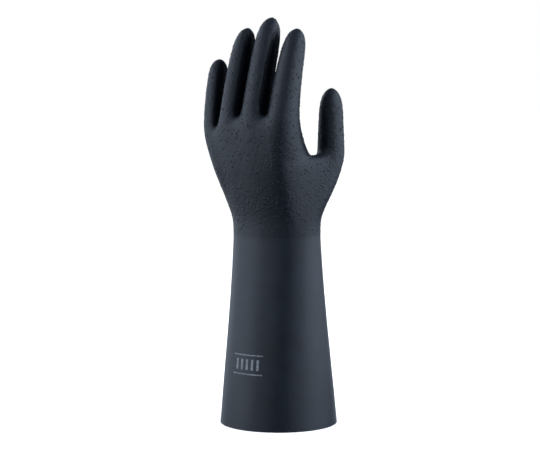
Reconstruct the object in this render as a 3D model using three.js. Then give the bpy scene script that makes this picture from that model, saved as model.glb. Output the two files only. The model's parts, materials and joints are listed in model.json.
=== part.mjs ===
// Left-hand chemical-resistant glove of dipped rubber with a long flared cuff, standing on its rim.
// Millimetres. +Z runs from the rim to the fingertips, the thumb is on the +X side and the back of
// the hand faces -Y. The origin is on the floor, under the middle of the whole glove.
//
// The glove is one closed wall. A coarse cage of four-sided faces follows the sections of forearm,
// hand and digits, it is rounded to a smooth outer skin, and the inner skin lies one wall thickness
// further in. A flat ring at the rim joins the two skins.
import * as THREE from "three";

// Sizes of the cuff and the hand
const WALL = 1.4;
const RIM_WIDTH = 116;
const RIM_DEPTH = 110;
const WRIST_HEIGHT = 197;
const WRIST_WIDTH = 89;
const WRIST_DEPTH = 66;
const KNUCKLE_HEIGHT = 297;
const KNUCKLES_TO_LITTLE_SIDE = 19.8; // from the forearm's axis to the middle of the knuckle row
const KNUCKLES_TO_BACK = 22;
const FINGER_GAP = 1.4;
const WEB_WIDTH = 5;
const WEB_RISE = 5.5; // from the knuckle row to the bottom of a finger cleft

// The digits from the little finger to the forefinger. Width and depth are taken at the base, and
// length runs from the knuckle row to the tip. Dome is the length of the rounded tip as a share of
// the width, and taper is the share of the width and depth lost on the way there. Drop is how far the base lies below the knuckle height, turn is how far the arch of
// the hand turns the section, lean and curl bend the digit towards the palm at its base and along
// its length, and splay tilts it towards the thumb side.
const FINGERS = [
  {
    name: "little", width: 22.5, depth: 23, length: 75.5, dome: 0.62, taper: 0.13,
    drop: 16, turn: -18, lean: 9, curl: 16, splay: -4.9,
  },
  {
    name: "ring", width: 25.2, depth: 27, length: 93.5, dome: 0.82, taper: 0.12,
    drop: 3, turn: -11, lean: 11, curl: 15.5, splay: 0.8,
  },
  {
    name: "middle", width: 27.5, depth: 28, length: 99.5, dome: 0.78, taper: 0.12,
    drop: 0, turn: -4, lean: 12, curl: 12, splay: 1.5,
  },
  {
    name: "fore", width: 30, depth: 30, length: 88.5, dome: 0.62, taper: 0.24,
    drop: 2, turn: 4, lean: 8, curl: 17, splay: 2.2,
  },
];

// The thumb stands in front of the palm, and its own values say where.
const THUMB = {
  name: "thumb", width: 27, depth: 27, length: 65.5, dome: 0.66, taper: 0.14,
  turn: 62, lean: -4, curl: 6, splay: 1.4,
};
const THUMB_TO_RADIAL_SIDE = 48;
const THUMB_TO_PALM = 23;
const THUMB_BASE_HEIGHT = 258;
const THUMB_CLEFT_HEIGHT = 262;
const THUMB_WEB_REACH = 10; // how far the web swells from the side of the hand towards the thumb
const THUMB_WEB_SPREAD = 0.35; // the share of that reach on the web's back and palm side
const THUMB_BALL_COLUMNS = 5.5; // how many columns of the palm the ball of the thumb covers
const THUMB_BALL_FILL = 0.1; // how far its edge fills the dip between thumb and palm
const THUMB_BALL_SHIFT = 9; // how far it draws the palm's columns away from the thumb

// Sections of the cuff. Height is a share of the wrist's height, and flare is the share of the way
// from the wrist's size to the rim's.
const CUFF_SECTIONS = [
  { height: 0, flare: 1 },
  { height: 0.22, flare: 0.76 },
  { height: 0.46, flare: 0.465 },
  { height: 0.7, flare: 0.19 },
  { height: 0.91, flare: 0.02 },
];

// Sections of the hand. Height is a share of the way from the wrist to the base of the digit that a
// point belongs to. Back, palm and thumb are shares of the way from the wrist's outline to the
// outline of the digits, on each of these three sides. Thick scales the depth of the fingers,
// groove is how deep the dips between them are, web is a share of the thumb web's reach, and ball
// is how far the palm beside the thumb keeps the depth of the wrist.
const HAND_SECTIONS = [
  { height: 0, back: 0, palm: 0, thumb: 0.08, thick: 1.3, groove: 0, web: 0, ball: 0 },
  { height: 0.1, back: 0.1, palm: 0.06, thumb: 0.29, thick: 1.3, groove: 0, web: 0, ball: 0.2 },
  { height: 0.27, back: 0.275, palm: 0.23, thumb: 0.64, thick: 1.3, groove: 0, web: 0, ball: 0.7 },
  { height: 0.43, back: 0.455, palm: 0.48, thumb: 0.87, thick: 1.3, groove: 0, web: 0.15, ball: 1 },
  { height: 0.57, back: 0.6, palm: 0.68, thumb: 1, thick: 1.3, groove: 0, web: 1, ball: 0.85 },
  { height: 0.71, back: 0.725, palm: 0.85, thumb: 1, thick: 1.26, groove: 0.05, web: 0.45, ball: 0.4 },
  { height: 0.86, back: 0.85, palm: 0.96, thumb: 1, thick: 1.22, groove: 0.12, web: 0.09, ball: 0.08 },
  { height: 1, back: 0.95, palm: 1, thumb: 1, thick: 1.14, groove: 0.5, web: 0, ball: 0 },
];
const THUMB_SPLIT_SECTION = 4; // the last section that thumb and palm share

// Sections of a digit. Along is a share of the length up to the dome of the tip, and taper is a
// share of what the width and the depth lose from the base to the dome.
const DIGIT_SECTIONS = [
  { along: 0.18, taper: 0.12 },
  { along: 0.46, taper: 0.4 },
  { along: 0.74, taper: 0.68 },
  { along: 1, taper: 1 },
];
const DOME_ANGLES = [36, 66];

const POINTS_PER_DIGIT = 3; // on the back and again on the palm side
const RADIANS = Math.PI / 180;

// A ring of eight cage points rounds to a smaller ring: this is how much wider the cage has to be.
const DIGIT_CAGE = 3 / (2 + Math.cos(Math.PI / 4));
const APEX_CAGE = 1.16; // the same for the height of the dome

const mix = THREE.MathUtils.lerp;
const points = [];
const faces = [];

function addRing(outline) {
  return outline.map((point) => points.push(point) - 1);
}

function bridge(lower, upper) {
  lower.forEach((corner, i) => {
    const next = (i + 1) % lower.length;
    faces.push([corner, lower[next], upper[next], upper[i]]);
  });
}

// A point of a digit's section. The angle is 180 on the side of the little finger, 270 on the back,
// 0 on the side of the thumb and 90 on the palm side.
function aroundDigit(centre, digit, angle, size, thick = 1) {
  const across = 0.5 * digit.width * size * DIGIT_CAGE * Math.cos(angle * RADIANS);
  const through = 0.5 * digit.depth * size * thick * DIGIT_CAGE * Math.sin(angle * RADIANS);
  const turned = new THREE.Vector2(across, through).rotateAround(new THREE.Vector2(), digit.turn * RADIANS);
  return turned.add(centre);
}

// The centres of the finger bases, one beside the other along the arch of the knuckles.
function placeFingers() {
  const centres = [new THREE.Vector2()];
  FINGERS.slice(1).forEach((finger, i) => {
    const before = FINGERS[i];
    const step = 0.5 * (before.width + finger.width) + FINGER_GAP;
    const heading = 0.5 * (before.turn + finger.turn) * RADIANS;
    const last = centres[i];
    centres.push(new THREE.Vector2(last.x + step * Math.cos(heading), last.y + step * Math.sin(heading)));
  });
  const middle = centres.reduce((sum, c) => sum.clone().add(c)).divideScalar(centres.length);
  const wanted = new THREE.Vector2(-KNUCKLES_TO_LITTLE_SIDE, -KNUCKLES_TO_BACK);
  return centres.map((c) => c.sub(middle).add(wanted));
}

const FINGER_CENTRES = placeFingers();
const THUMB_CENTRE = new THREE.Vector2(THUMB_TO_RADIAL_SIDE, THUMB_TO_PALM);
const baseHeight = (finger) => KNUCKLE_HEIGHT - finger.drop;

// The columns of the cage, seen from above and against the clock: the little finger's side, the
// back, the thumb and the palm. Above the thumb's cleft the forefinger's edge replaces the thumb.
function handColumns() {
  const backAngles = [225, 270, 315];
  const palmAngles = [45, 90, 135];
  const column = (side, digit, centre, angle) => ({ side, digit, centre, angle });
  const back = FINGERS.flatMap((finger, i) =>
    backAngles.map((angle) => column("back", finger, FINGER_CENTRES[i], angle)));
  const palm = FINGERS.flatMap((finger, i) =>
    palmAngles.toReversed().map((angle) => column("palm", finger, FINGER_CENTRES[i], angle)));
  const thumb = [...backAngles, 0, ...palmAngles].map((angle) =>
    column("thumb", THUMB, THUMB_CENTRE, angle));
  return [column("back", FINGERS[0], FINGER_CENTRES[0], 180), ...back, ...thumb, ...palm.toReversed()];
}

const LAST = FINGERS.length - 1;
const BACK_END = 1 + POINTS_PER_DIGIT * FINGERS.length; // the first column past the back's
const THUMB_END = BACK_END + 2 * POINTS_PER_DIGIT + 1; // and past the thumb's
const EDGE = { side: "back", digit: FINGERS[LAST], centre: FINGER_CENTRES[LAST], angle: 0 };
const LOWER_COLUMNS = handColumns();
const UPPER_COLUMNS = [...LOWER_COLUMNS.slice(0, BACK_END), EDGE, ...LOWER_COLUMNS.slice(THUMB_END)];

// Where a column meets the forearm's outline, as a turn about the forearm's axis.
const armAngles = new Map();
LOWER_COLUMNS.forEach((column, i) => {
  armAngles.set(column.digit.name + column.angle, 180 + (360 * i) / LOWER_COLUMNS.length);
});
armAngles.set(EDGE.digit.name + EDGE.angle, 360);

function armPoint(column, width, depth, height) {
  const angle = armAngles.get(column.digit.name + column.angle) * RADIANS;
  return new THREE.Vector3(0.5 * width * Math.cos(angle), 0.5 * depth * Math.sin(angle), height);
}

function cuffRing(section) {
  const width = mix(WRIST_WIDTH, RIM_WIDTH, section.flare);
  const depth = mix(WRIST_DEPTH, RIM_DEPTH, section.flare);
  const height = section.height * WRIST_HEIGHT;
  return addRing(LOWER_COLUMNS.map((column) => armPoint(column, width, depth, height)));
}

// Between two fingers the hand is flat: a point there lies on the line from finger to finger.
function bridgedPoint(column, thick) {
  const own = FINGERS.indexOf(column.digit);
  const middleAngle = column.side === "palm" ? 90 : 270;
  const turnedTo = Math.sign(Math.cos(column.angle * RADIANS));
  const other = FINGERS[own + turnedTo];
  if (own < 0 || !other || column.angle % 90 === 0) return null;
  const from = aroundDigit(column.centre, column.digit, middleAngle, 1, thick);
  const to = aroundDigit(FINGER_CENTRES[own + turnedTo], other, middleAngle, 1, thick);
  return from.lerp(to, 1 / 3);
}

// The ball of the thumb is fullest beside the thumb and fades over the palm's columns.
function ballShare(column) {
  const fromThumb = LOWER_COLUMNS.indexOf(column) - THUMB_END;
  if (column === EDGE || fromThumb < -1) return 0;
  return Math.max(0, 1 - Math.max(0, fromThumb) / THUMB_BALL_COLUMNS) ** 1.3;
}

// The web of the thumb is an outgrowth of the forefinger's edge, and of the columns beside it.
function webShare(column) {
  if (column === EDGE) return 1;
  const beside = column.digit === FINGERS[LAST] && [315, 45].includes(column.angle);
  return beside ? THUMB_WEB_SPREAD : 0;
}

function handPoint(column, section) {
  const isThumb = column.side === "thumb";
  const ball = section.ball * ballShare(column);
  const split = HAND_SECTIONS[THUMB_SPLIT_SECTION];
  const top = isThumb ? mix(WRIST_HEIGHT, THUMB_BASE_HEIGHT, section.height / split.height)
    : mix(WRIST_HEIGHT, baseHeight(column.digit), section.height);
  const from = armPoint(column, WRIST_WIDTH, WRIST_DEPTH, top);
  const fill = isThumb ? ball * THUMB_BALL_FILL : 0;
  const angle = column.angle * (1 - 0.75 * fill);
  const to = aroundDigit(column.centre, column.digit, angle, 1 + fill, isThumb ? 1 : section.thick);
  const flat = bridgedPoint(column, section.thick);
  if (flat) to.lerp(flat, 1 - section.groove);
  const across = isThumb ? section.thumb : section.back;
  const through = section[column.side] * (isThumb ? 1 : 1 - ball);
  const point = new THREE.Vector3(mix(from.x, to.x, across), mix(from.y, to.y, through), top);
  if (!isThumb) point.x -= ball * THUMB_BALL_SHIFT;
  const towards = new THREE.Vector3(THUMB_CENTRE.x - point.x, THUMB_CENTRE.y - point.y, 0);
  return point.addScaledVector(towards.normalize(), section.web * THUMB_WEB_REACH * webShare(column));
}

// The centre line of a digit bends towards the palm. Returns the point and the direction there.
function alongDigit(digit, base, distance) {
  const steps = 24;
  const step = distance / steps;
  const place = base.clone();
  const direction = new THREE.Vector3();
  for (let i = 0; i < steps; i++) {
    const tilt = (digit.lean + digit.curl * Math.min(1, ((i + 0.5) * step) / digit.length)) * RADIANS;
    direction.set(Math.tan(digit.splay * RADIANS), Math.tan(tilt), 1).normalize();
    place.addScaledVector(direction, step);
  }
  return { place, direction };
}

// A ring of eight points square to the digit's centre line.
function digitRing(digit, base, distance, size) {
  const { place, direction } = alongDigit(digit, base, distance);
  const across = new THREE.Vector3(Math.cos(digit.turn * RADIANS), Math.sin(digit.turn * RADIANS), 0);
  across.addScaledVector(direction, -across.dot(direction)).normalize();
  const through = new THREE.Vector3().crossVectors(direction, across);
  const outline = [];
  for (let k = 0; k < 8; k++) {
    const angle = (180 + 45 * k) * RADIANS;
    const point = place.clone();
    point.addScaledVector(across, 0.5 * digit.width * size * DIGIT_CAGE * Math.cos(angle));
    point.addScaledVector(through, 0.5 * digit.depth * size * DIGIT_CAGE * Math.sin(angle));
    outline.push(point);
  }
  return addRing(outline);
}

// Grows a digit from its first ring, and closes it with four faces round the tip.
function growDigit(digit, base, firstRing) {
  const domeLength = digit.dome * digit.width;
  const shaft = digit.length - domeLength;
  let ring = firstRing;
  const grow = (distance, size) => {
    const next = digitRing(digit, base, distance, size);
    bridge(ring, next);
    ring = next;
  };
  DIGIT_SECTIONS.forEach((section) => grow(section.along * shaft, 1 - digit.taper * section.taper));
  DOME_ANGLES.forEach((angle) => {
    grow(shaft + domeLength * Math.sin(angle * RADIANS), (1 - digit.taper) * Math.cos(angle * RADIANS));
  });
  const [tip] = addRing([alongDigit(digit, base, shaft + domeLength * APEX_CAGE).place]);
  for (let k = 0; k < 8; k += 2) faces.push([ring[k], ring[k + 1], ring[(k + 2) % 8], tip]);
}

// The bottom of a cleft: a strip from the back to the palm, over one point on either side of it.
function addWeb(backLeft, backRight, palmRight, palmLeft, left, right) {
  faces.push([backLeft, backRight, right, left]);
  faces.push([left, right, palmRight, palmLeft]);
}

function buildCage() {
  let ring = null;
  const add = (next) => {
    if (ring) bridge(ring, next);
    ring = next;
  };
  CUFF_SECTIONS.forEach((section) => add(cuffRing(section)));
  HAND_SECTIONS.slice(0, THUMB_SPLIT_SECTION + 1).forEach((section) => {
    add(addRing(LOWER_COLUMNS.map((column) => handPoint(column, section))));
  });

  // The thumb's seven points leave the shared ring, and the cleft closes both rings.
  const shared = ring;
  const thumbOutline = shared.slice(BACK_END, THUMB_END);
  const palmEdge = handPoint(EDGE, HAND_SECTIONS[THUMB_SPLIT_SECTION]).setZ(THUMB_CLEFT_HEIGHT);
  const thumbEdge = aroundDigit(THUMB_CENTRE, THUMB, 180, 1);
  const [left, right] = addRing([
    palmEdge, new THREE.Vector3(thumbEdge.x, thumbEdge.y, THUMB_CLEFT_HEIGHT),
  ]);
  addWeb(shared[BACK_END - 1], shared[BACK_END], shared[THUMB_END - 1], shared[THUMB_END], left, right);
  const thumbBase = new THREE.Vector3(THUMB_CENTRE.x, THUMB_CENTRE.y, THUMB_BASE_HEIGHT);
  growDigit(THUMB, thumbBase, [right, ...thumbOutline]);

  ring = [...shared.slice(0, BACK_END), left, ...shared.slice(THUMB_END)];
  HAND_SECTIONS.slice(THUMB_SPLIT_SECTION + 1).forEach((section) => {
    add(addRing(UPPER_COLUMNS.map((column) => handPoint(column, section))));
  });

  // Each finger takes its three points of the back and of the palm, and a point of each cleft.
  const top = ring;
  const backOf = (i, k) => top[1 + POINTS_PER_DIGIT * i + k];
  const palmOf = (i, k) => top[top.length - 1 - POINTS_PER_DIGIT * i - k];
  let cleft = top[0];
  FINGERS.forEach((finger, i) => {
    const centre = FINGER_CENTRES[i];
    let far = top[BACK_END];
    let nextCleft = null;
    if (i + 1 < FINGERS.length) {
      const next = FINGER_CENTRES[i + 1];
      const height = 0.5 * (baseHeight(finger) + baseHeight(FINGERS[i + 1])) + WEB_RISE;
      const middle = centre.clone().add(next).multiplyScalar(0.5);
      const half = next.clone().sub(centre).setLength(0.5 * WEB_WIDTH);
      [far, nextCleft] = addRing([
        new THREE.Vector3(middle.x - half.x, middle.y - half.y, height),
        new THREE.Vector3(middle.x + half.x, middle.y + half.y, height),
      ]);
      addWeb(backOf(i, 2), backOf(i + 1, 0), palmOf(i + 1, 0), palmOf(i, 2), far, nextCleft);
    }
    const base = new THREE.Vector3(centre.x, centre.y, baseHeight(finger));
    growDigit(finger, base, [
      cleft, backOf(i, 0), backOf(i, 1), backOf(i, 2), far, palmOf(i, 2), palmOf(i, 1), palmOf(i, 0),
    ]);
    cleft = nextCleft;
  });
}

// What each vertex of a mesh of quads touches: its faces, and the edges with their faces.
function connections(count, quads) {
  const edges = new Map();
  const vertexFaces = Array.from({ length: count }, () => []);
  const vertexEdges = Array.from({ length: count }, () => []);
  quads.forEach((quad, f) => {
    quad.forEach((a, k) => {
      const b = quad[(k + 1) % 4];
      vertexFaces[a].push(f);
      const key = Math.min(a, b) * count + Math.max(a, b);
      if (!edges.has(key)) {
        edges.set(key, { ends: [a, b], faces: [] });
        vertexEdges[a].push(edges.get(key));
        vertexEdges[b].push(edges.get(key));
      }
      edges.get(key).faces.push(f);
    });
  });
  return { edges, vertexFaces, vertexEdges };
}

const average = (vectors) =>
  vectors.reduce((sum, v) => sum.add(v), new THREE.Vector3()).divideScalar(vectors.length);

// One step of Catmull-Clark rounding. An open edge rounds as a curve of its own, in its own plane.
function roundOnce(vertices, quads) {
  const count = vertices.length;
  const { edges, vertexFaces, vertexEdges } = connections(count, quads);
  const faceMiddles = quads.map((quad) => average(quad.map((i) => vertices[i])));
  const edgeMiddle = (edge) => average(edge.ends.map((i) => vertices[i]));
  const moved = vertices.map((vertex, i) => {
    const rim = vertexEdges[i].filter((edge) => edge.faces.length === 1);
    if (rim.length) return average([vertex, average(rim.map(edgeMiddle))]);
    const n = vertexFaces[i].length;
    const around = average(vertexFaces[i].map((f) => faceMiddles[f]));
    const middles = average(vertexEdges[i].map(edgeMiddle));
    return around.addScaledVector(middles, 2).addScaledVector(vertex, n - 3).divideScalar(n);
  });
  const faceStart = moved.length;
  moved.push(...faceMiddles);
  edges.forEach((edge) => {
    const ends = edge.ends.map((i) => vertices[i]);
    const open = edge.faces.length === 1;
    edge.index = moved.push(average(open ? ends : [...ends, ...edge.faces.map((f) => faceMiddles[f])])) - 1;
  });
  const edgeIndex = (a, b) => edges.get(Math.min(a, b) * count + Math.max(a, b)).index;
  const finer = quads.flatMap((quad, f) => quad.map((corner, k) => [
    corner, edgeIndex(corner, quad[(k + 1) % 4]), faceStart + f, edgeIndex(quad[(k + 3) % 4], corner),
  ]));
  return { vertices: moved, quads: finer };
}

// Moves each vertex to where endless rounding would take it.
function toSmoothSurface({ vertices, quads }) {
  const { vertexFaces, vertexEdges } = connections(vertices.length, quads);
  const smooth = vertices.map((vertex, i) => {
    const rim = vertexEdges[i].filter((edge) => edge.faces.length === 1);
    if (rim.length) {
      const ends = average(rim.map((edge) => vertices[edge.ends[0] === i ? edge.ends[1] : edge.ends[0]]));
      return vertex.clone().multiplyScalar(2).add(ends).divideScalar(3);
    }
    const n = vertexFaces[i].length;
    const sum = vertex.clone().multiplyScalar(n * n);
    vertexFaces[i].forEach((f) => {
      const at = quads[f].indexOf(i);
      sum.addScaledVector(vertices[quads[f][(at + 1) % 4]], 2);
      sum.addScaledVector(vertices[quads[f][(at + 3) % 4]], 2);
      sum.add(vertices[quads[f][(at + 2) % 4]]);
    });
    return sum.divideScalar(n * (n + 5));
  });
  return { vertices: smooth, quads };
}

// The wall between the outer skin and the same skin moved in, closed by a flat ring at the rim.
function wallGeometry({ vertices, quads }) {
  const count = vertices.length;
  const normals = vertices.map(() => new THREE.Vector3());
  quads.forEach((quad) => {
    const [a, b, c, d] = quad.map((i) => vertices[i]);
    const normal = new THREE.Vector3().crossVectors(c.clone().sub(a), d.clone().sub(b));
    quad.forEach((i) => normals[i].add(normal));
  });
  const { edges } = connections(count, quads);
  const rim = [...edges.values()].filter((edge) => edge.faces.length === 1);
  rim.forEach((edge) => edge.ends.forEach((i) => normals[i].setZ(0)));
  const inner = vertices.map((vertex, i) => vertex.clone().addScaledVector(normals[i].normalize(), -WALL));
  const triangles = quads.flatMap(([a, b, c, d]) => [a, b, c, a, c, d]);
  quads.forEach((quad) => {
    const [a, b, c, d] = quad.map((i) => i + count);
    triangles.push(a, c, b, a, d, c);
  });
  rim.forEach(({ ends: [a, b] }) => triangles.push(a, a + count, b + count, a, b + count, b));
  const geometry = new THREE.BufferGeometry();
  const positions = [...vertices, ...inner].flatMap((v) => v.toArray());
  geometry.setAttribute("position", new THREE.Float32BufferAttribute(positions, 3));
  geometry.setIndex(triangles);
  geometry.computeVertexNormals();
  return geometry;
}

buildCage();
const geometry = wallGeometry(toSmoothSurface(roundOnce(points, faces)));

// The origin goes under the middle of the glove's box.
geometry.computeBoundingBox();
const { min, max } = geometry.boundingBox;
geometry.translate(-0.5 * (min.x + max.x), -0.5 * (min.y + max.y), 0);

const rubber = new THREE.MeshStandardMaterial({ color: 0x23282f, roughness: 0.55, metalness: 0 });
const glove = new THREE.Mesh(geometry, rubber);
glove.name = "glove";

const model = new THREE.Group();
model.add(glove);
export default model;
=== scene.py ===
# %% [markdown]
# # A chemical-resistant gauntlet, standing on its cuff
#
# The real thing is one hollow skin of dark rubber, about 1.4 mm thick and 400 mm long.
# It is made by dipping a hand-shaped form, so there is no seam anywhere. The hand has a
# second, rough coat for grip. The long cuff has the smooth satin face of the first coat.
#
# The solid of the glove comes from the CAD frame. This lesson puts a finer skin over it,
# adds the rough coat as real grains, mixes one rubber for both finishes, and sets up a
# small photo studio around it. Everything is in metres, with +Z up, the thumb on the +X
# side and the back of the hand facing -Y.

import json
import math

import bmesh
import bpy
import numpy as np
from mathutils import Matrix, Vector, noise
from mathutils.bvhtree import BVHTree

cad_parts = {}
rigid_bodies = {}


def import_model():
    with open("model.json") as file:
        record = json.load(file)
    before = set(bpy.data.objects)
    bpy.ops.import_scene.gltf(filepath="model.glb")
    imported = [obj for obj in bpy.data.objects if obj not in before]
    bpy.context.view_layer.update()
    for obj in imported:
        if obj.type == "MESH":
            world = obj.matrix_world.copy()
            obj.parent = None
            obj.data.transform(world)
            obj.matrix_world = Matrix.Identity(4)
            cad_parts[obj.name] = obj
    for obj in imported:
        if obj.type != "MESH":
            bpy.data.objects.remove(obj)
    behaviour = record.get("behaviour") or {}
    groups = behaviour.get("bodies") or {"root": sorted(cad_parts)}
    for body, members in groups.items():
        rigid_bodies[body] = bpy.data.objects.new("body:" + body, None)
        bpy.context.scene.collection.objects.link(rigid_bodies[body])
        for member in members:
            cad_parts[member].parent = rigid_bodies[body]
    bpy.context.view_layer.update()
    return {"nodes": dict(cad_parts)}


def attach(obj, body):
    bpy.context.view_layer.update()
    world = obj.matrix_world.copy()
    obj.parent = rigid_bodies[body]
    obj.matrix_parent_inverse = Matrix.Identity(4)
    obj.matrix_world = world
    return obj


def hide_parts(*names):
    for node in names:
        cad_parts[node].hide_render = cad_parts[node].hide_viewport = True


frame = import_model()
cad_glove = frame["nodes"]["glove"]
MM = 0.001

# %% [markdown]
# Much of the work is done the way it is done by hand: pick a piece, then use a tool on it.
# Whole arrays of points are read at once where a loop over them would be slow.


# %% Small helpers for selecting and measuring
def select_only(piece):
    """Leave nothing selected but this piece, and make it the active one."""
    bpy.ops.object.select_all(action="DESELECT")
    piece.select_set(True)
    bpy.context.view_layer.objects.active = piece


def apply_modifier(piece, kind, **settings):
    """Add a modifier, set it and apply it straight away."""
    select_only(piece)
    modifier = piece.modifiers.new(kind.title(), kind)
    for name, value in settings.items():
        setattr(modifier, name, value)
    bpy.ops.object.modifier_apply(modifier=modifier.name)


def row_array(items, name="co"):
    """One vector of every item of a mesh, as the rows of an array."""
    flat = np.empty(len(items) * 3)
    items.foreach_get(name, flat)
    return flat.reshape(-1, 3)


def smooth_step(value, low, high):
    """0 below low, 1 above high, and an even slope between."""
    t = min(1.0, max(0.0, (value - low) / (high - low)))
    return t * t * (3 - 2 * t)


# %% [markdown]
# ## The skin
#
# The CAD node's mesh is a soup of loose triangles. A subdivision surface needs joined
# quads, so a copy of the mesh has its doubles merged and its triangles paired. The CAD
# node itself is never touched: the new skin only stands in for it.

# %% Copy the CAD mesh and join it into quads
SAME_POINT = 0.01 * MM
FLATTEST_PAIR = math.radians(60)

skin = bpy.data.objects.new("skin", cad_glove.data.copy())
bpy.context.scene.collection.objects.link(skin)
select_only(skin)
bpy.ops.object.mode_set(mode="EDIT")
bpy.ops.mesh.select_all(action="SELECT")
bpy.ops.mesh.remove_doubles(threshold=SAME_POINT)
bpy.ops.mesh.tris_convert_to_quads(face_threshold=FLATTEST_PAIR, shape_threshold=FLATTEST_PAIR)
bpy.ops.object.mode_set(mode="OBJECT")
quads = sum(len(face.vertices) == 4 for face in skin.data.polygons)
print("skin:", len(skin.data.vertices), "points,", quads, "quads of", len(skin.data.polygons))

# %% [markdown]
# The rim of the cuff is cut off square with a blade. Its two edges have to stay crisp
# when the skin is rounded and when it is shaded, so they get a full crease and are marked
# sharp. Seams on the same edges let select linked stop at the rim, which tells the outside
# of the glove from the inside.

# %% Crease the rim
RIM_HEIGHT = 0.2 * MM

mesh = bmesh.new()
mesh.from_mesh(skin.data)
crease = mesh.edges.layers.float.new("crease_edge")
at_rim = [face for face in mesh.faces if all(v.co.z < RIM_HEIGHT for v in face.verts)]
for face in at_rim:
    for edge in face.edges:
        if any(other not in at_rim for other in edge.link_faces):
            edge[crease] = 1.0
            edge.seam = True
            edge.smooth = False
print("rim faces:", len(at_rim))
mesh.to_mesh(skin.data)
mesh.free()

# %% [markdown]
# The highest face is the tip of the middle finger, which is surely on the outside. What is
# linked to it without crossing a seam is the whole outside.

# %% Find the outside
highest = max(skin.data.polygons, key=lambda face: face.center.z).index
select_only(skin)
bpy.ops.object.mode_set(mode="EDIT")
bpy.ops.mesh.select_mode(type="FACE")
bpy.ops.mesh.select_all(action="DESELECT")
bpy.ops.object.mode_set(mode="OBJECT")
skin.data.polygons[highest].select = True
bpy.ops.object.mode_set(mode="EDIT")
bpy.ops.mesh.select_linked(delimit={"SEAM"})
outside = skin.vertex_groups.new(name="outside")
bpy.ops.object.vertex_group_assign()
bpy.ops.object.mode_set(mode="OBJECT")
print("points on the outside:", sum(len(v.groups) > 0 for v in skin.data.vertices))

# %% [markdown]
# Two levels of subdivision bring the faces down to about 1.3 by 5.4 mm on the cuff. That
# is fine enough for the slight waviness that a dipped skin has.

# %% Round the skin
apply_modifier(skin, "SUBSURF", levels=2, render_levels=2)
print("skin after rounding:", len(skin.data.polygons), "faces")

# %% [markdown]
# ## The dip line and the waviness
#
# The hand was dipped once more up to just above the wrist. The second coat ends in a low,
# slightly wavy edge all round, and it is pebbled, more in some patches than in others.
# Rubber also runs and gathers as it sets, so the skin is never quite as even as the form.
# All of these are moves of less than half a millimetre along the normals, made on the
# points of the outside only.

# %% Raise the second coat and make the skin uneven
DIP_HEIGHT = 183 * MM
DIP_WAVE = 0.8 * MM
DIP_EDGE = 1.6 * MM
COAT_THICKNESS = 0.12 * MM
RUN_HEIGHT = 0.1 * MM
RUN_SIZE = 16 * MM
RUN_SQUEEZE = 0.6  # runs are longer up and down than across
RUNS_FROM, RUNS_FULLY = 2 * MM, 20 * MM  # the rim stays even
PEBBLE_SIZE = 4.0 * MM
PEBBLE_HEIGHT = 0.28 * MM
PEBBLE_TOP = 0.6  # the share of a pebble's height above the coat
PEBBLE_REACH = 0.75
PATCH_SIZE = 22 * MM
PATCH_LEAST = 0.3


def dip_line(x, y):
    """Height of the second coat's edge at this side of the arm."""
    side = math.atan2(y, x)
    return DIP_HEIGHT + DIP_WAVE * (math.sin(2 * side + 0.6) + 0.6 * math.sin(5 * side))


outside_index = skin.vertex_groups["outside"].index
on_outside = [
    any(g.group == outside_index and g.weight > 0.5 for g in v.groups) for v in skin.data.vertices
]
points = row_array(skin.data.vertices)
normals = row_array(skin.data.vertex_normals, "vector")
for number in np.flatnonzero(on_outside):
    x, y, z = points[number]
    here = Vector((x, y, z))
    line = dip_line(x, y)
    coat = smooth_step(z, line - DIP_EDGE / 2, line + DIP_EDGE / 2)
    run = noise.noise(Vector((x, y, z * RUN_SQUEEZE)) / RUN_SIZE)
    run *= RUN_HEIGHT * smooth_step(z, RUNS_FROM, RUNS_FULLY)
    patch = smooth_step(noise.noise(here / PATCH_SIZE), -0.2, 0.3)
    patch = PATCH_LEAST + (1 - PATCH_LEAST) * patch
    near, _ = noise.voronoi(here / PEBBLE_SIZE)
    pebble = (PEBBLE_TOP - smooth_step(near[0], 0.0, PEBBLE_REACH)) * patch
    points[number] += normals[number] * (coat * (COAT_THICKNESS + PEBBLE_HEIGHT * pebble) + run)
skin.data.vertices.foreach_set("co", points.ravel())
skin.data.update()
print("points moved:", sum(on_outside))

# %% [markdown]
# The skin is shaded smooth. Only the rim's two edges, marked above, stay sharp.

# %% Smooth shading
SHARPEST = math.radians(50)

select_only(skin)
bpy.ops.object.shade_smooth_by_angle(angle=SHARPEST)
print("sharp edges:", sum(edge.use_edge_sharp for edge in skin.data.edges))

# %% [markdown]
# ## How shut in the skin is
#
# The lights stand low at the sides, so a finger keeps them off the flank of the next one.
# The photo shows these flanks almost black. Rays from each point of the fingers count how
# much of its surroundings lies close by, and the material paints shade onto it from that share.
# The flanks that face away from the thumb are lit from the other side, so they count less.

# %% Measure how shut in the fingers are
SHUT_FROM = 246 * MM
SHUT_FULLY = 274 * MM
SHUT_REACH = 45 * MM
RAYS = 24
RAY_START = 0.3 * MM  # clear of the skin that the ray leaves
FAR_FLANK_SHARE = 0.3
SHUT_NAME = "shut in"

surface = BVHTree.FromPolygons(
    points.tolist(), [tuple(face.vertices) for face in skin.data.polygons]
)
golden_turn = math.pi * (3 - math.sqrt(5))
spread = []
for number in range(RAYS):
    lift = 1 - (number + 0.5) / RAYS
    flat = math.sqrt(1 - lift * lift)
    side = number * golden_turn
    spread.append(Vector((flat * math.cos(side), flat * math.sin(side), lift)))
all_rays = sum(ray.z for ray in spread)

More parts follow.
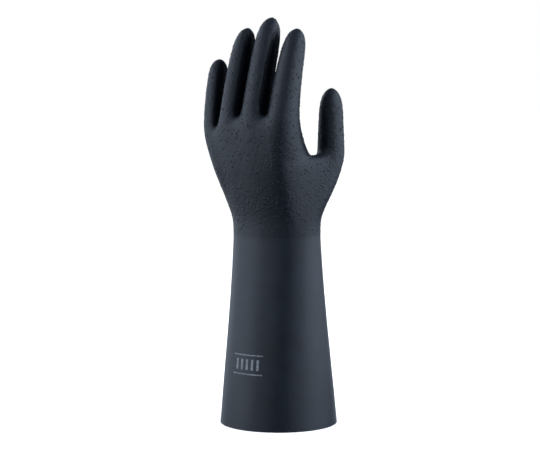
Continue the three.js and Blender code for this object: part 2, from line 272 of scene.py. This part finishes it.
shut_in = np.zeros(len(points))
for number in np.flatnonzero(on_outside):
    z = points[number][2]
    if z < SHUT_FROM:
        continue
    way = Vector(normals[number])
    start = Vector(points[number]) + way * RAY_START
    turn = way.to_track_quat("Z", "Y")
    hits = [ray.z for ray in spread if surface.ray_cast(start, turn @ ray, SHUT_REACH)[0]]
    share = sum(hits) / all_rays * smooth_step(z, SHUT_FROM, SHUT_FULLY)
    to_thumb = smooth_step(way.x, -0.3, 0.3)
    shut_in[number] = share * (FAR_FLANK_SHARE + (1 - FAR_FLANK_SHARE) * to_thumb)
# The share drives the painted shade of the rubber.
skin.data.attributes.new(SHUT_NAME, "FLOAT", "POINT").data.foreach_set("value", shut_in)
print("most shut in:", round(float(shut_in.max()), 2), "mean:", round(float(shut_in.mean()), 3))

# %% [markdown]
# ## The grains of the rough coat
#
# The rough coat is full of crumbs of set rubber, one to two and a half millimetres wide
# and a few tenths high. Bump in a material would leave the outline clean, so the crumbs
# are real. One crumb is modelled three times with different lumps. Copies of the three
# are then strewn over the outside of the hand, each with its own size and turn.

# %% Model three crumbs
CRUMB_SHAPES = 3
CRUMB_CUT = -0.02  # just below the middle, so that the open side sinks into the skin
LUMPS = 2.2  # how many lumps fit into the width of a crumb
LUMP_DEPTH = 0.45
NEXT_LUMPS = 7.3  # how far apart two crumbs read the noise


def model_crumb(seed):
    """A low lump on the ground plane, one unit across, open below."""
    bpy.ops.object.select_all(action="DESELECT")
    bpy.ops.mesh.primitive_ico_sphere_add(subdivisions=2, radius=0.5, location=(0, 0, 0))
    crumb = bpy.context.active_object
    bpy.ops.object.mode_set(mode="EDIT")
    bpy.ops.mesh.select_all(action="SELECT")
    bpy.ops.mesh.bisect(plane_co=(0, 0, CRUMB_CUT), plane_no=(0, 0, 1), clear_inner=True)
    bpy.ops.object.mode_set(mode="OBJECT")
    for vertex in crumb.data.vertices:
        lump = noise.noise(vertex.co * LUMPS + Vector((seed * NEXT_LUMPS, 0, 0)))
        vertex.co *= 1 + LUMP_DEPTH * lump
    shape = row_array(crumb.data.vertices)
    faces = [tuple(face.vertices) for face in crumb.data.polygons]
    bpy.data.objects.remove(crumb)
    return shape, faces


crumb_shapes = [model_crumb(seed) for seed in range(CRUMB_SHAPES)]
print("faces in one crumb:", [len(faces) for _, faces in crumb_shapes])

# %% [markdown]
# The crumbs start a little above the dip line and lie closer together on the fingers. A
# large face catches more of them than a small one, so they are spread evenly.

# %% Choose the faces that carry a crumb
CRUMB_COUNT = 2800
CRUMBS_ON_FINGERS = 2.2  # times as dense as on the hand
ABOVE_DIP_LINE = 2 * MM

dice = np.random.default_rng(416)
mesh = bmesh.new()
mesh.from_mesh(skin.data)
groups = mesh.verts.layers.deform.active
hand_faces, areas, on_finger = [], [], []
for face in mesh.faces:
    middle = face.calc_center_median()
    bare = middle.z <= dip_line(*middle.xy) + ABOVE_DIP_LINE
    if bare or any(outside_index not in v[groups] for v in face.verts):
        continue
    hand_faces.append(face)
    areas.append(face.calc_area())
    on_finger.append(middle.z > SHUT_FULLY)
chances = np.array(areas) * np.where(on_finger, CRUMBS_ON_FINGERS, 1.0)
picks = dice.choice(len(hand_faces), size=CRUMB_COUNT, p=chances / chances.sum())
print("hand faces:", len(hand_faces), "area in cm2:", round(sum(areas) * 1e4))

# %% [markdown]
# Each crumb lies at a random place in its face and stands on the face's normal. Most are
# small and a few are large. They take over how shut in the skin below them is, so the
# painted shade covers them too.

# %% Strew the crumbs over the hand
CRUMB_SMALL = 0.9 * MM
CRUMB_LARGE = 2.4 * MM
CRUMB_RARITY = 2.2  # a higher power makes large crumbs rarer
CRUMB_NARROWEST = 0.65
CRUMB_FLATNESS = 0.36

crumb_points, crumb_faces, crumb_shut_in, first = [], [], [], 0
for pick in picks:
    face = hand_faces[pick]
    shares = dice.dirichlet(np.ones(len(face.verts)))
    place = sum((v.co * s for v, s in zip(face.verts, shares)), Vector())
    size = CRUMB_SMALL + (CRUMB_LARGE - CRUMB_SMALL) * dice.random() ** CRUMB_RARITY
    spin = Matrix.Rotation(dice.random() * 2 * math.pi, 3, "Z")
    turn = face.normal.to_track_quat("Z", "Y").to_matrix() @ spin
    narrow = CRUMB_NARROWEST + (1 - CRUMB_NARROWEST) * dice.random()
    scale = np.array([size, size * narrow, size * CRUMB_FLATNESS])
    shape, faces = crumb_shapes[dice.integers(CRUMB_SHAPES)]
    crumb_points.append((shape * scale) @ np.array(turn).T + np.array(place))
    crumb_faces += [tuple(first + i for i in corner) for corner in faces]
    crumb_shut_in += [shut_in[[v.index for v in face.verts]].mean()] * len(shape)
    first += len(shape)
mesh.free()

grain_mesh = bpy.data.meshes.new("grains")
grain_mesh.from_pydata(np.concatenate(crumb_points).tolist(), [], crumb_faces)
grain_mesh.attributes.new(SHUT_NAME, "FLOAT", "POINT").data.foreach_set("value", crumb_shut_in)
grains = bpy.data.objects.new("grains", grain_mesh)
bpy.context.scene.collection.objects.link(grains)
select_only(grains)
bpy.ops.object.shade_smooth()
print("grain triangles:", sum(len(face.vertices) - 2 for face in grain_mesh.polygons))

# %% [markdown]
# ## The rubber
#
# One rubber makes the whole glove: near black, a little blue, with a broad soft gloss.
# What changes over it is small. The hand is duller and full of fine tooth, the cuff is
# smoother, and both are slightly cloudy. A wrapper around a socket lets the patterns be
# written as plain sums.


# %% A wrapper for shader sums
class Wire:
    """One output socket that can be added, multiplied and subtracted."""

    def __init__(self, finish, socket):
        self.finish = finish
        self.socket = socket

    def sum_with(self, operation, first, second):
        return self.finish.add("ShaderNodeMath", {"operation": operation}, {0: first, 1: second})

    def __add__(self, other):
        return self.sum_with("ADD", self, other)

    def __sub__(self, other):
        return self.sum_with("SUBTRACT", self, other)

    def __mul__(self, other):
        return self.sum_with("MULTIPLY", self, other)

    def __rsub__(self, other):
        return self.sum_with("SUBTRACT", other, self)

    def __abs__(self):
        return self.sum_with("ABSOLUTE", self, 0.0)

    def at_least(self, other):
        return self.sum_with("MAXIMUM", self, other)

    __radd__ = __add__
    __rmul__ = __mul__


class Finish:
    """The node tree of a material or of the world, under construction."""

    def __init__(self, owner):
        self.owner = owner
        owner.use_nodes = True
        self.tree = owner.node_tree
        self.tree.nodes.clear()

    def add(self, kind, settings=None, inputs=None, output=0):
        """Add a node, set it up, feed its sockets and return one of its outputs."""
        node = self.tree.nodes.new(kind)
        for name, value in (settings or {}).items():
            setattr(node, name, value)
        for name, value in (inputs or {}).items():
            if isinstance(value, Wire):
                self.tree.links.new(value.socket, node.inputs[name])
            else:
                node.inputs[name].default_value = value
        return Wire(self, node.outputs[output]) if node.outputs else None

    def blend(self, share, first, second):
        """Two colours mixed by a share."""
        sockets = {"Factor": share, 6: first, 7: second}
        return self.add("ShaderNodeMix", {"data_type": "RGBA"}, sockets, 2)

    def step(self, value, low, high):
        """0 below low and 1 above high, with an even slope between."""
        sockets = {"Value": value, "From Min": low, "From Max": high}
        return self.add("ShaderNodeMapRange", {"interpolation_type": "SMOOTHSTEP"}, sockets)


# %% [markdown]
# The patterns are all laid out in the glove's own metres. The clouds are as large as the
# patches of pebbles. The tooth is the finest. The pores leave dark specks, and the edge of
# the rough coat follows the clouds a little, as a dip line does.

# %% Lay out the patterns
CLOUD_SIZE = 22 * MM
TOOTH_SIZE = 1.1 * MM
SMALL_PEBBLE_SIZE = 3.0 * MM
PORE_SIZE = 2.4 * MM
DIP_BLUR = 3 * MM

rubber = Finish(bpy.data.materials.new("dipped rubber"))
place = rubber.add("ShaderNodeTexCoord", output="Object")
across = rubber.add("ShaderNodeSeparateXYZ", inputs={0: place})
depth = rubber.add("ShaderNodeSeparateXYZ", inputs={0: place}, output=1)
height = rubber.add("ShaderNodeSeparateXYZ", inputs={0: place}, output=2)


def speckle(kind, size, **sockets):
    """A pattern with features about this size, in metres."""
    return rubber.add(kind, inputs={"Vector": place, "Scale": 1 / size, **sockets})


cloud = speckle("ShaderNodeTexNoise", CLOUD_SIZE, Detail=4.0)
tooth = speckle("ShaderNodeTexNoise", TOOTH_SIZE, Detail=2.0)
pebbles = speckle("ShaderNodeTexVoronoi", SMALL_PEBBLE_SIZE)
pores = speckle("ShaderNodeTexVoronoi", PORE_SIZE)
clouded_height = height + (cloud - 0.5) * DIP_BLUR
hand = rubber.step(clouded_height, DIP_HEIGHT - DIP_EDGE, DIP_HEIGHT + DIP_EDGE)
patch = rubber.step(cloud, 0.4, 0.62)
pebble = 1 - rubber.step(pebbles, 0.1, 0.65)
speck = (1 - rubber.step(pores, 0.1, 0.28)) * hand * patch
print("nodes for the patterns:", len(rubber.tree.nodes))

# %% [markdown]
# The real cuff carries a small pale print near its end, on the back of the hand's side.
# Ours is a plain one that says nothing: a row of even ticks between two rules, like a
# piece of a scale, in thin worn ink. Each bar is a distance worked out from the point's
# place, cut off with a soft edge.

# %% Print a plain mark on the cuff
MARK_ACROSS = -1.5 * MM
MARK_HEIGHT = 62.0 * MM
MARK_DEPTH = (-20 * MM, -15 * MM)  # full on the back of the arm, gone on the palm side
INK_EDGE = 0.3 * MM
TICK_GAP = 6.0
MARK = [  # across, up, half width, half height, in mm, strength
    (0.0, 9.0, 17.0, 0.5, 0.6),
    (0.0, -9.0, 17.0, 0.5, 0.6),
]
for tick in range(-2, 3):
    MARK.append((TICK_GAP * tick, 0.0, 1.2, 5.0, 0.7))

ink = None
for shift, lift, wide, tall, strength in MARK:
    aside = abs(across - (MARK_ACROSS + shift * MM)) - wide * MM
    above = abs(height - (MARK_HEIGHT + lift * MM)) - tall * MM
    filled = (1 - rubber.step(aside.at_least(above), -INK_EDGE, INK_EDGE)) * strength
    ink = filled if ink is None else ink.at_least(filled)
wear = rubber.step(tooth * 0.75 + cloud * 0.25, 0.4, 0.54)
ink = ink * (wear * 0.65 + 0.35) * (1 - rubber.step(depth, *MARK_DEPTH))
print("shapes in the mark:", len(MARK))

# %% [markdown]
# The relief is worked out in metres, so the bump node has a distance of one. The colour
# is almost black and a little blue: what reads as grey on the real glove is the broad
# reflection of the lights. Where the fingers are shut in, a flat black is mixed in as
# painted shade, up to nine tenths. It is painted into the material, so it stays there under
# any other light.

# %% Mix the rubber
DEEP = (0.010, 0.015, 0.022, 1)
PALE = (0.014, 0.020, 0.031, 1)
ROUGH_COAT = (0.005, 0.009, 0.016, 1)
ROUGH_COAT_SHARE = 0.7
SPECK = (0.003, 0.004, 0.006, 1)
SPECK_SHARE = 0.8
INK = (0.62, 0.64, 0.67, 1)
SHADE = (0.002, 0.003, 0.005, 1)
SHADE_FROM, SHADE_TO, SHADE_MOST = 0.06, 0.30, 0.92
SATIN = 0.42
DULLER_ON_HAND = 0.06
UNEVEN_GLOSS = 0.06
TOOTH_ON_CUFF = 0.012 * MM
TOOTH_ON_HAND = 0.07 * MM
PEBBLE_BUMP = 0.18 * MM

colour = rubber.blend(rubber.step(cloud * 0.7 + tooth * 0.3, 0.35, 0.65), DEEP, PALE)
colour = rubber.blend(hand * ROUGH_COAT_SHARE, colour, ROUGH_COAT)
colour = rubber.blend(speck * SPECK_SHARE, colour, SPECK)
colour = rubber.blend(ink, colour, INK)
gloss = SATIN + hand * DULLER_ON_HAND + (tooth - 0.5) * UNEVEN_GLOSS
relief = tooth * (hand * (TOOTH_ON_HAND - TOOTH_ON_CUFF) + TOOTH_ON_CUFF)
relief = relief + pebble * (patch * 0.8 + 0.2) * hand * PEBBLE_BUMP
normal = rubber.add("ShaderNodeBump", inputs={"Height": relief, "Strength": 1.0, "Distance": 1.0})
shader = rubber.add(
    "ShaderNodeBsdfPrincipled",
    inputs={
        "Base Color": colour,
        "Roughness": gloss,
        "Normal": normal,
        "IOR": 1.5,
        "Specular IOR Level": 0.5,
    },
)
# Painted shade: a flat black diffuse, mixed in by how shut in the fingers are.
shut = rubber.add("ShaderNodeAttribute", {"attribute_name": SHUT_NAME}, output=2)
shade = rubber.step(shut, SHADE_FROM, SHADE_TO) * SHADE_MOST
dark = rubber.add("ShaderNodeBsdfDiffuse", inputs={"Color": SHADE})
whole = rubber.add("ShaderNodeMixShader", inputs={0: shade, 1: shader, 2: dark})
rubber.add("ShaderNodeOutputMaterial", inputs={"Surface": whole})
print("nodes in the rubber:", len(rubber.tree.nodes))

# %% [markdown]
# Inside and on the cut rim the rubber is plain: dull, even and without print.

# %% Mix the rubber of the inside
NAP_SIZE = 1.6 * MM
NAP_HEIGHT = 0.04 * MM
INSIDE_DEEP = (0.014, 0.018, 0.024, 1)
INSIDE_PALE = (0.024, 0.030, 0.038, 1)

inner = Finish(bpy.data.materials.new("inside of the glove"))
place = inner.add("ShaderNodeTexCoord", output="Object")
fine = {"Vector": place, "Scale": 1 / NAP_SIZE, "Detail": 3.0}
nap = inner.add("ShaderNodeTexNoise", inputs=fine)
bumps = {"Height": nap * NAP_HEIGHT, "Strength": 1.0, "Distance": 1.0}
normal = inner.add("ShaderNodeBump", inputs=bumps)
dull = inner.add(
    "ShaderNodeBsdfPrincipled",
    inputs={
        "Base Color": inner.blend(nap, INSIDE_DEEP, INSIDE_PALE),
        "Roughness": 0.7,
        "Normal": normal,
        "Specular IOR Level": 0.3,
    },
)
inner.add("ShaderNodeOutputMaterial", inputs={"Surface": dull})
print("nodes in the inside:", len(inner.tree.nodes))

# %% [markdown]
# Both pieces ride on the glove's one body and wear the dipped rubber. The skin stands in
# for the CAD node. Its faces that don't lie wholly on the outside take the plain rubber.

# %% Dress the pieces and hand them to the frame
for piece in (skin, grains):
    piece.data.materials.clear()
    piece.data.materials.append(rubber.owner)
    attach(piece, "root")
skin.data.materials.append(inner.owner)
for face in skin.data.polygons:
    face.material_index = 0 if all(on_outside[number] for number in face.vertices) else 1
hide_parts("glove")
print("faces inside and on the rim:", sum(face.material_index for face in skin.data.polygons))

# %% [markdown]
# ## The studio
#
# The photograph is a cut-out on white. A lamp of its own, linked to the floor alone, keeps
# the paper white without lifting the dark middle of the glove. The floor isn't seen in
# the rubber, because no bright floor shows in it in the photo.

# %% Lay the floor
FLOOR_RADIUS = 30.0
FLOOR_LAMP_SIZE = math.radians(100)
FLOOR_LAMP_STRENGTH = 3.8

bpy.ops.object.select_all(action="DESELECT")
bpy.ops.mesh.primitive_circle_add(vertices=96, radius=FLOOR_RADIUS, fill_type="NGON")
floor = bpy.context.active_object
floor.name = "floor"
floor.visible_diffuse = False
floor.visible_glossy = False
paper = Finish(bpy.data.materials.new("white paper"))
white = paper.add(
    "ShaderNodeBsdfPrincipled",
    inputs={"Base Color": (0.9, 0.9, 0.9, 1), "Roughness": 0.9, "Specular IOR Level": 0.0},
)
paper.add("ShaderNodeOutputMaterial", inputs={"Surface": white})
floor.data.materials.append(paper.owner)

floor_only = bpy.data.collections.new("floor only")
floor_only.objects.link(floor)
bpy.ops.object.light_add(type="SUN", location=(0, 0, 2))
floor_lamp = bpy.context.active_object
floor_lamp.name = "floor lamp"
floor_lamp.data.energy = FLOOR_LAMP_STRENGTH
floor_lamp.data.angle = FLOOR_LAMP_SIZE
floor_lamp.light_linking.receiver_collection = floor_only
print("floor across in metres:", 2 * FLOOR_RADIUS)

# %% [markdown]
# Broad soft boxes stand to the left and right of the glove and the camera side is dim, so
# the rubber is light at both edges and darkest down the middle. A weak box behind lights
# the palm side and the outline, and a weak one above lights the fingertips.

# %% Stand the soft boxes
CAMERA_SIDE = 30.0
BOX_DISTANCE = 1.0
BOX_WIDTH = 1.9
BOX_TALL = 1.4
BOXES_ROUND = Vector((0, 0, 0.2))
BOXES_AIM = Vector((0, 0, 0.22))
LIGHT_COLOUR = (0.745, 0.845, 1.0)
LIGHTS = [  # name, degrees round from the camera, watts, degrees up
    ("far left soft box", -102, 9.7, 19),
    ("near left soft box", -62, 5.5, 18),
    ("near right soft box", 58, 7.3, 19),
    ("far right soft box", 88, 11.9, 20),
    ("back soft box", 180, 6.0, 9),
    ("top soft box", 0, 2.0, 88),
]


def stand_light(name, side, watts, rise):
    """A soft box turned to the middle of the glove, at degrees round from the camera and up."""
    turn, lift = math.radians(CAMERA_SIDE + side), math.radians(rise)
    away = math.cos(lift)
    way = Vector((math.sin(turn) * away, -math.cos(turn) * away, math.sin(lift)))
    spot = way * BOX_DISTANCE + BOXES_ROUND
    bpy.ops.object.light_add(type="AREA", location=spot)
    light = bpy.context.active_object
    light.name = name
    light.data.shape = "RECTANGLE"
    light.data.size, light.data.size_y = BOX_WIDTH, BOX_TALL
    light.data.energy = watts
    light.data.color = LIGHT_COLOUR
    light.visible_camera = False
    light.rotation_mode = "QUATERNION"
    light.rotation_quaternion = (spot - BOXES_AIM).to_track_quat("Z", "Y")
    return light


boxes = [stand_light(name, side, watts, rise) for name, side, watts, rise in LIGHTS]
print("soft boxes:", len(boxes), "watts together:", round(sum(box.data.energy for box in boxes), 1))

# %% [markdown]
# What the camera sees behind the floor is white like the floor. What lights the glove
# from there is much dimmer, so the world has one value for each kind of ray.

# %% Fill the air around
FILL = 0.01
FILL_COLOUR = (0.85, 0.92, 1.0, 1)
WHITE = (1, 1, 1, 1)

world = bpy.data.worlds.new("studio")
bpy.context.scene.world = world
air = Finish(world)
seen = air.add("ShaderNodeLightPath", output="Is Camera Ray")
dim = air.add("ShaderNodeBackground", inputs={"Color": FILL_COLOUR, "Strength": FILL})
bright = air.add("ShaderNodeBackground", inputs={"Color": WHITE, "Strength": 1.0})
chosen = air.add("ShaderNodeMixShader", inputs={0: seen, 1: dim, 2: bright})
air.add("ShaderNodeOutputWorld", inputs={"Surface": chosen})
print("nodes in the world:", len(air.tree.nodes))

# %% [markdown]
# ## The camera
#
# The picture was taken from the back of the hand, thirty degrees round to the thumb side
# and a little above, from far enough away that the cuff hardly widens towards the lens.
# The whole picture leans by half a degree.

# %% Stand the camera where the photographer stood
CAMERA_DISTANCE = 1.5
CAMERA_HEIGHT = 0.312
AIM_HEIGHT = 0.1919
AIM_SIDE = -1.0 * MM
FOCAL_PIXELS = 1552
IMAGE_WIDTH = 540
SENSOR_WIDTH = 36
ROLL = math.radians(0.6)

angle = math.radians(CAMERA_SIDE)
right = Vector((math.cos(angle), math.sin(angle), 0))
eye = Vector((math.sin(angle), -math.cos(angle), 0)) * CAMERA_DISTANCE + right * AIM_SIDE
eye.z = CAMERA_HEIGHT
aim = Vector((0, 0, AIM_HEIGHT)) + right * AIM_SIDE
forward = (aim - eye).normalized()
up = right.cross(forward)
rolled_right = right * math.cos(ROLL) - up * math.sin(ROLL)
rolled_up = right * math.sin(ROLL) + up * math.cos(ROLL)
turn = Matrix((rolled_right, rolled_up, -forward)).transposed()

bpy.ops.object.select_all(action="DESELECT")
bpy.ops.object.camera_add(location=eye)
camera = bpy.context.active_object
camera.name = "camera"
camera.rotation_mode = "QUATERNION"
camera.rotation_quaternion = turn.to_quaternion()
camera.data.sensor_width = SENSOR_WIDTH
camera.data.lens = FOCAL_PIXELS / IMAGE_WIDTH * SENSOR_WIDTH
bpy.context.scene.camera = camera
bpy.context.scene.view_settings.view_transform = "Standard"
print("lens in mm:", round(camera.data.lens, 1))
